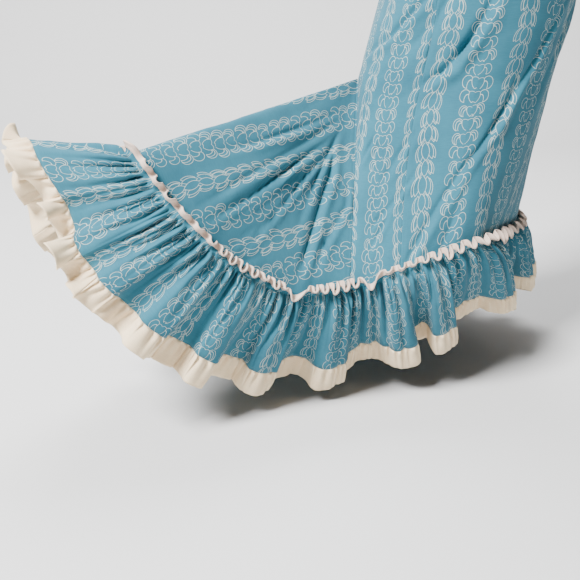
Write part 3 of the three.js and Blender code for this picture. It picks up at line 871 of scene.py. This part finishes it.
def sleeve(right):
    """Its turn goes from the armpit up the back of the armhole and down its front."""
    turn = np.linspace(0, 1, SLEEVE_ROUND + 1)[None, :]
    t = np.linspace(0, 1, SLEEVE_DOWN + 1)[:, None]
    climb = np.where(turn <= 0.5, 2 * turn, 2 * (1 - turn))
    side = np.full(turn.shape, 0.25)
    start = np.where((turn <= 0.5)[..., None], yoke_point(side, climb, "back"), yoke_point(side, climb, "front"))
    a = TAU * turn
    up = -SLEEVE_HEM["radius"] * np.cos(a)
    rise_x, rise_z = SLEEVE_HEM["rise"]
    hem_x, hem_z = -SLEEVE_HEM["x"] - up * rise_x, SLEEVE_HEM["z"] + up * rise_z
    hem = stack(hem_x, SLEEVE_HEM["radius"] * np.sin(a), hem_z)
    cap = SLEEVE_CAP * np.sin(np.pi * t) * np.maximum(0, -np.cos(a))
    points = mix(start - [1.5, 0, 0], hem, t[..., None]) + stack(-0.4 * cap, 0 * cap, cap)
    run = arc(points, 1)
    u = run - run[:, -1:] / 2
    v = np.broadcast_to(arc(points, 0)[:, SLEEVE_ROUND // 2, None], u.shape)
    out = way_out(points)
    ends = np.sin(np.pi * turn) ** 0.5
    pull = 1.6 * np.sin(u * 0.11 + 1.3 * noise(u, v, 40, SEEDS["sleeve"])) * np.exp(-v / 40) * ends
    hem_fold = -0.8 * np.exp(-(((v - v.max() + SLEEVE_HEM_FOLD) / 1.5) ** 2))
    shift = (hand(u, v, SEEDS["sleeve"] + 2) * ends + pull) * np.minimum(1, v / 8) + hem_fold
    grid = points + out * shift[..., None]
    if not right:
        grid = (grid * [-1, 1, 1])[:, ::-1]
        u, v = u[:, ::-1], v[:, ::-1]
    return [(grid, u, v)], cloth_area([(points, u, v)])


# ---- Flounce, binding and frill ----
RUFFLE_TURN = 0.2  # how far a ruffle of fullness 1 turns out of the frill's plane, in radians
RUFFLE_MOST = 1.2
RUFFLE_INWARD = 0.42  # and how far inward, against outward
# The frill's ruffles: their number up to each share, and how full they are. They are fullest round the train's end.
# There the flounce's own pleats also fade soonest: fade is how far down that is.
RUFFLES = table(
    "share number full fade",
    (0, 0, 0.4, 120),
    (0.7, 46, 0.45, 110),
    (0.79, 51, 2.1, 46),
    (0.835, 54, 2.5, 48),
    (0.868, 56, 1.3, 50),
    (0.9, 58, 0.75, 52),
    (0.95, 61, 0.7, 95),
    (1, 64, 0.5, 120),
)
GATHERS = (236, 83)  # their number and seed, close under the stitch line
GATHER_DEEP = 5
GATHER_FADE = 42
PLEATS = (118, 81)  # what they run together into
PLEAT_DEEP = 7.2
CRINKLE_DEEP = (0.7, 1.6)  # everywhere, and under the stitch line
FRILL_GATHERS = (330, 87)
FRILL_GATHER_DEEP = 4
FOLD_SWING = 0.34  # how far a fold's flanks go under its crest, in its depth
RUFFLE_SWING = 3
FRILL_RISE = 3  # how much shorter the frill hangs for each step of fullness
# Round the corner of the train's end the hem is drawn up: the share, half the width, and how far up.
TUCK_AT = 0.82
TUCK_HALF = 0.016
TUCK_RISE = 20
BAND_COLUMNS = 640  # points along one of the four lengths
HEADING_LEAN = 1.45
LOOP_SWING = 1.9
# The heading's loops, which are finer than the waves of the solids: their number up to each share, and their size.
LOOPS = table(
    "share number size",
    (0, 0, 1),
    (0.1, 11, 1),
    (0.16, 14.6, 1.05),
    (0.24, 18.4, 1.05),
    (0.3, 22, 1.1),
    (0.45, 33, 1.15),
    (0.78, 66, 1),
    (0.8, 67.5, 0.75),
    (0.86, 72, 0.8),
    (0.885, 74.1, 0.9),
    (0.93, 78.6, 1),
    (1, 87, 1),
)
FOLD_FLAT = 1.4
# Uneven numbers of the bands: how many cells round the dress, how long one is downward (not for those in ALONG,
# which are alike from top to bottom), and the seed.
UNEVEN = (83, 60, 82)
WANDER = (60, 45, 88)
CRINKLE = (290, 13, 84)
ALONG = {"loops": (41, 71), "loop_size": (67, 72), "full": (31, 85), "ruffles": (53, 86), "droop": (71, 89)}

# The crests of the flounce's large folds, as shares of the stitch line's length from turn 0.
CRESTS = np.array([
    0.035, 0.061, 0.122, 0.19, 0.238, 0.289, 0.332, 0.384, 0.43, 0.482, 0.527, 0.578, 0.622, 0.674, 0.718, 0.766,
    0.814, 0.84, 0.8625, 0.887, 0.918, 0.952, 0.987,
])
# Where the heading flops over: the share, half the width of the dip, and the extra lean in radians.
DIPS = [(0.0165, 0.0078, 2.2), (0.31, 0.007, 1.6), (0.447, 0.006, 1.2), (0.6, 0.007, 1.9), (0.735, 0.006, 1.2),
        (0.953, 0.0085, 2.2)]

STITCH_TURNS = np.linspace(0, ROUND, 1601)
STITCH_RUN = arc(stitch_point(STITCH_TURNS)[None], 1)[0]


def turn_at(share):
    """The turn at a share of the stitch line's length, so that gathers and folds are spaced along the cloth."""
    return np.interp(np.mod(share, 1) * STITCH_RUN[-1], STITCH_RUN, STITCH_TURNS)


def fold_at(share):
    """The large folds: 1 at a crest and -1 halfway to the next one, with flatter tops than a plain wave."""
    crests = np.concatenate([[CRESTS[-1] - 1], CRESTS, [CRESTS[0] + 1]])
    wave = np.cos(TAU * np.interp(np.mod(share, 1), crests, np.arange(len(crests))))
    return np.tanh(FOLD_FLAT * wave) / math.tanh(FOLD_FLAT)


def gathers(share, count, seed):
    """Uneven gathers, round on their crests and sharp in their troughs."""
    phase = np.pi * count * share + 1.5 * along_noise(share, count // 4, seed)
    return 2 * np.abs(np.sin(phase)) - 1.27  # less its mean


def band_frame(turn):
    """What the bands are built on at each turn: the base line and the ways out, up, along, hanging and aside."""
    step = 1e-3
    foot = np.ones(turn.shape)
    across = skirt_point(turn + step, foot) - skirt_point(turn - step, foot)
    down = skirt_point(turn, foot) - skirt_point(turn, 0.99 * foot)
    out = unit(np.cross(down, across))
    hang = unit(stack(*stitch(turn, "lx", "ly", "lz")))
    along = unit(stitch_point(turn + step) - stitch_point(turn - step))
    sideways = unit(np.cross(hang, along))
    return stitch_point(turn) + out * CLEAR, out, unit(-down), along, hang, sideways


def heading_points(share, up_by):
    """Above the stitch line: crests that lean out, loops that swing along the line, and a few deep dips."""
    base, out, up, along, _, _ = band_frame(turn_at(share))
    place = np.mod(share, 1)
    phase = TAU * np.interp(place, LOOPS["share"], LOOPS["number"]) + 0.9 * along_noise(share, *ALONG["loops"])
    uneven = np.interp(place, LOOPS["share"], LOOPS["size"])
    uneven = uneven * (1 + 0.25 * along_noise(share, *ALONG["loop_size"]))
    from_dip = lambda at: np.abs((share - at + 0.5) % 1 - 0.5)
    dip = sum(extra * np.exp(-((from_dip(at) / wide) ** 2)) for at, wide, extra in DIPS)
    reach = np.clip(up_by / (HEADING_DEPTH + BINDING_DEPTH), 0, 1)
    calm = np.clip(1 - dip, 0, 1)
    lean = (0.15 + HEADING_LEAN * uneven * calm * (1 + np.sin(phase)) / 2 + dip) * reach**0.4
    swing = -LOOP_SWING * np.sin(2 * phase) * uneven * reach * calm
    rise, away = up_by * np.cos(lean), up_by * np.sin(lean)
    return base + up * rise[..., None] + out * away[..., None] + along * swing[..., None]


def hanging_points(share, down):
    """Below the stitch line: the cloth stands out from its gathers and then falls in folds, and the frill after
    it has gathers and ruffles of its own."""
    turn = turn_at(share)
    base, _, _, along, hang, sideways = band_frame(turn)
    fold, puff = stitch(turn, "fold", "puff")
    puff = puff * (1 - np.exp(-down / 25))
    deep = np.minimum(1.2, down / FLOUNCE_DEPTH)
    past = np.maximum(0, down - FLOUNCE_DEPTH) / FRILL_DEPTH
    uneven = 1 + 0.55 * ring_noise(share, down, *UNEVEN)
    under = 1 - 0.7 * np.exp(-down / 3)
    close = GATHER_DEEP * gathers(share, *GATHERS) * uneven * np.exp(-down / GATHER_FADE) * under
    wander = share + 0.0016 * ring_noise(share, down, *WANDER)
    place = np.mod(share, 1)
    fade = np.interp(place, RUFFLES["share"], RUFFLES["fade"])
    middle = PLEAT_DEEP * gathers(wander, *PLEATS) * uneven * np.exp(-down / fade) * (1 - np.exp(-down / 9))
    crinkle = CRINKLE_DEEP[0] + CRINKLE_DEEP[1] * np.exp(-down / 26) * (1 - np.exp(-down / 4))
    crinkle = crinkle * ring_noise(share, down, *CRINKLE)
    waves = np.interp(place, RUFFLES["share"], RUFFLES["number"])
    ruffle_phase = TAU * waves + np.pi / 4 + 1.2 * along_noise(share, *ALONG["ruffles"])
    full = np.interp(place, RUFFLES["share"], RUFFLES["full"]) * (1 + 0.3 * along_noise(share, *ALONG["full"]))
    turned_out = np.minimum(RUFFLE_TURN * full**1.6, RUFFLE_MOST) * np.sin(ruffle_phase) * past**0.3
    turned_out *= np.where(turned_out < 0, RUFFLE_INWARD, 1)
    ruffle = FRILL_DEPTH * past * np.sin(turned_out)
    frill_gathers = FRILL_GATHER_DEEP * gathers(share, *FRILL_GATHERS) * np.exp(-past * 1.9) * smooth(past, 0, 0.05)
    depth = fold * deep * fold_at(share) + close + middle + crinkle + ruffle + frill_gathers
    turned_under = np.sin(TAU * 2 * np.interp(place, CRESTS, np.arange(len(CRESTS))))
    swing = FOLD_SWING * fold * deep**1.5 * turned_under
    swing -= RUFFLE_SWING * full * np.sin(2 * ruffle_phase) * past
    droop = ((1 + 2.2 * full) * along_noise(share, *ALONG["droop"]) - FRILL_RISE * (full - 0.4)) * past
    droop -= FRILL_DEPTH * past * (1 - np.cos(turned_out))
    droop -= TUCK_RISE * deep * np.exp(-(((place - TUCK_AT) / TUCK_HALF) ** 2))
    fallen = (down - puff / 2 + droop)[..., None]
    return base + hang * fallen + sideways * (puff + depth)[..., None] + along * swing[..., None]


def band(which, downs, surface):
    """One of the four lengths of a band: its grid of points, and how far down each of them is."""
    shares = np.linspace(which, which + 1, BAND_COLUMNS + 1) / LENGTHS
    share, down = np.broadcast_arrays(shares[None, :], np.asarray(downs, float)[:, None])
    return surface(share, down), down


FLOUNCE_DOWNS = np.concatenate([[0, 1.5, 3.5], np.linspace(6, 40, 12), np.linspace(45, FLOUNCE_DEPTH, 14)])
HEADING_UPS = np.linspace(HEADING_DEPTH, 0, 6)
BINDING_THICK = 2.2
BINDING_CUT = 11  # the strip's width round the heading's edge, pressed flat
BINDING_LAP = 2.2  # how far the binding comes down over the heading
BINDING_UPS = np.linspace(HEADING_DEPTH + BINDING_DEPTH, HEADING_DEPTH - BINDING_LAP, 7)
FRILL_DOWNS = np.linspace(FLOUNCE_DEPTH, FLOUNCE_DEPTH + FRILL_DEPTH, 13)


def flounce(which):
    below, down = band(which, FLOUNCE_DOWNS, hanging_points)
    above, up = band(which, HEADING_UPS, heading_points)
    above[-1] = below[0]
    edge = arc(below, 1)[-1]
    grid = np.concatenate([above[:-1], below])
    v = np.concatenate([-up[:-1], down])
    u = np.broadcast_to(10 * STRIPE * which + edge, v.shape)
    return [(grid, u, v)], (edge[-1], FLOUNCE_DEPTH + HEADING_DEPTH)


def binding(which):
    grid, up = band(which, BINDING_UPS, heading_points)
    grid = grid + way_out(grid) * (BINDING_THICK - SHEET_THICK) / 2
    edges = arc(grid, 1)
    u = np.broadcast_to(edges[0], up.shape)
    return [(grid, u, -up)], (edges[:, -1].mean(), BINDING_CUT)


def frill(which):
    grid, down = band(which, FRILL_DOWNS, hanging_points)
    edges = arc(grid, 1)
    u = np.broadcast_to(edges[-1], down.shape)
    return [(grid, u, down)], (edges[:, -1].mean(), FRILL_DEPTH)


# ---- Assembly ----


def add_sheet(name, grids, material, thick=SHEET_THICK):
    """A piece of cloth that stands for the CAD node of that name."""
    piece = mesh_piece(f"{name}_cloth", grids, material, thick)
    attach(piece, "root")
    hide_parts(name)


def dress():
    printed = cotton("printed_cotton", PRINTED, printed=True)
    cream = cotton("cream_cotton", CREAM, thin=0.12, roughness=0.88)
    bound = cotton("cream_binding", BINDING)
    panels = {
        "back_right": back_panel(True),
        "back_left": back_panel(False),
        "front_center": front_panel(),
        "side_right": side_panel(True),
        "side_left": side_panel(False),
        "train_gore": gore(),
        "sleeve_right": sleeve(True),
        "sleeve_left": sleeve(False),
    }
    for name, (grids, area) in panels.items():
        wide = np.ptp(np.concatenate([u.ravel() for _, u, _ in grids])) * MM
        long = np.ptp(np.concatenate([v.ravel() for _, _, v in grids])) * MM
        wide, long = round(wide + 0.005, 2), round(long + 0.005, 2)  # up to a whole centimetre
        area = min(area, wide * long)
        add_sheet(name, grids, printed)
    for k in range(LENGTHS):
        grids, (wide, long) = flounce(k)
        add_sheet(f"flounce_{k + 1}", grids, printed)
        grids, (wide, long) = binding(k)
        add_sheet(f"heading_binding_{k + 1}", grids, bound,
                  thick=BINDING_THICK)
        grids, (wide, long) = frill(k)
        add_sheet(f"hem_frill_{k + 1}", grids, cream)


# ---- Studio ----
FLOOR_GAP = 0.02  # the dress hangs this far above the floor
ROOM = 9
WALL_X = 2.6
WALL_CURVE = 0.9
PAPER = 0.62  # the backdrop's grey
SKY = 0.09  # the sky's strength
LIGHTS = [  # name, watts, width, place, what it points at
    ("key", 1020, 1.5, (-2.6, 2.6, 2.6), (-0.1, 0.2, -1.0)),
    ("back", 190, 2.0, (1.6, 0.6, 2.2), (1.7, 0.2, -1.4)),
]


def studio(lowest):
    """A pale floor that curves up into a backdrop, soft lights and an even sky."""
    bend = [(math.sin(a), 1 - math.cos(a)) for a in np.linspace(0, math.pi / 2, 12)]
    curve = [(WALL_X + WALL_CURVE * s, WALL_CURVE * c) for s, c in bend]
    section = [(-ROOM, 0), *curve, (WALL_X + WALL_CURVE, ROOM)]
    verts = [(x, y, lowest - FLOOR_GAP + z) for x, z in section for y in (-ROOM, ROOM)]
    faces = [(2 * k, 2 * k + 2, 2 * k + 3, 2 * k + 1) for k in range(len(section) - 1)]
    mesh = bpy.data.meshes.new("floor")
    mesh.from_pydata(verts, [], faces)
    mesh.polygons.foreach_set("use_smooth", [True] * len(faces))
    paper = bpy.data.materials.new("backdrop_paper")
    paper.use_nodes = True
    surface = paper.node_tree.nodes["Principled BSDF"]
    surface.inputs["Base Color"].default_value = (PAPER, PAPER, PAPER, 1)
    surface.inputs["Roughness"].default_value = 0.95
    mesh.materials.append(paper)
    put("floor", mesh)

    sky = bpy.data.worlds.new("sky")
    sky.use_nodes = True
    sky.node_tree.nodes["Background"].inputs["Color"].default_value = (1, 1, 1, 1)
    sky.node_tree.nodes["Background"].inputs["Strength"].default_value = SKY
    bpy.context.scene.world = sky

    for name, watts, width, place, target in LIGHTS:
        data = bpy.data.lights.new(name, "AREA")
        data.energy = watts
        data.size = width
        light = put(name, data)
        light.location = place
        aim = np.array(target) - np.array(place)
        flat = math.hypot(aim[0], aim[1])
        light.rotation_euler = (math.atan2(flat, -aim[2]), 0, math.atan2(aim[1], aim[0]) - math.pi / 2)


make_camera()
dress()
bpy.context.view_layer.update()
visual_box = [list(corner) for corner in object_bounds()]
studio(visual_box[0][2])
